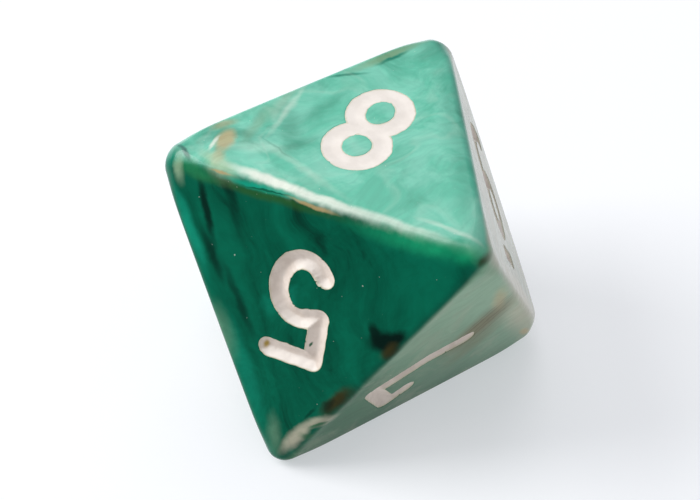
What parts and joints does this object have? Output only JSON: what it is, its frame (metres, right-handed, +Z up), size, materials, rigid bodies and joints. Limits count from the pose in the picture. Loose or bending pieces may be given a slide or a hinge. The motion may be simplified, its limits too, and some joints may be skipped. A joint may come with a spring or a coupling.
{
  "type": "eight-sided die",
  "caption": "Octahedral gaming die with rounded edges and a paint-filled engraved numeral on every face; it rests on one face and reads on the face above.",
  "frame": {"origin": "middle of the face that the die rests on", "axes": "+Z up through the upward face; +Y towards the corner that the upward face's numeral points at; +X along the opposite top edge"},
  "size_m": [0.018, 0.0204, 0.015],
  "materials": {
    "swirled_plastic": "polished, marbled green, white and brown",
    "numeral_paint": "matt off-white paint"
  },
  "bodies": {
    "root": {"die_body": "swirled_plastic", "numeral_1_paint": "numeral_paint", "numeral_2_paint": "numeral_paint", "numeral_3_paint": "numeral_paint", "numeral_4_paint": "numeral_paint", "numeral_5_paint": "numeral_paint", "numeral_6_paint": "numeral_paint", "numeral_7_paint": "numeral_paint", "numeral_8_paint": "numeral_paint", "underline_6_paint": "numeral_paint"}
  },
  "joints": []
}
